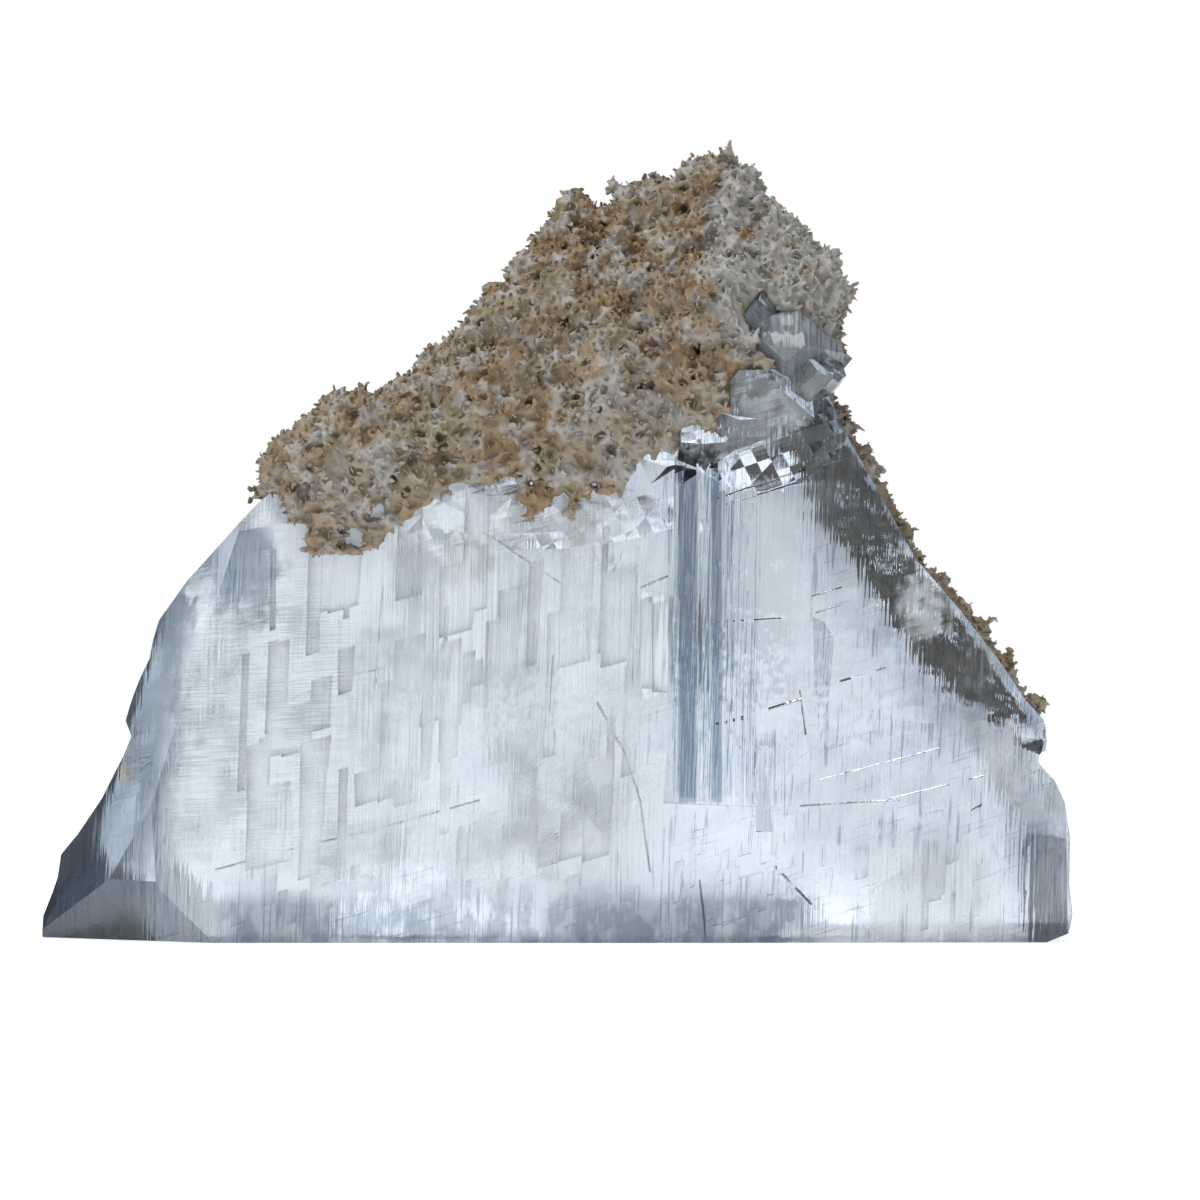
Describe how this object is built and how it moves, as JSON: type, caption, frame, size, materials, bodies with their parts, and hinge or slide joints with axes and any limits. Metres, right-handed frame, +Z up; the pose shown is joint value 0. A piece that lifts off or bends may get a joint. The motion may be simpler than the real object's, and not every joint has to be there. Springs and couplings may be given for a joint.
{
  "type": "selenite slab",
  "caption": "Free-standing slab of clear selenite, sawn flat below, with a porous tan gypsum crust over its sloping top and one end.",
  "frame": {"origin": "middle of the box's underside, on the sawn base", "axes": "+X along the base to the right as seen from the front, -Y out of the front face, +Z up"},
  "size_m": [0.2398, 0.0716, 0.185],
  "materials": {
    "selenite": "clear, glossy cleavage faces with fine striations, milky veils and cracks inside",
    "crust": "matt, porous crust of small tan to white gypsum crystals, brown in the pits"
  },
  "bodies": {
    "root": {"selenite_slab": "selenite", "crust": "crust"}
  },
  "joints": []
}
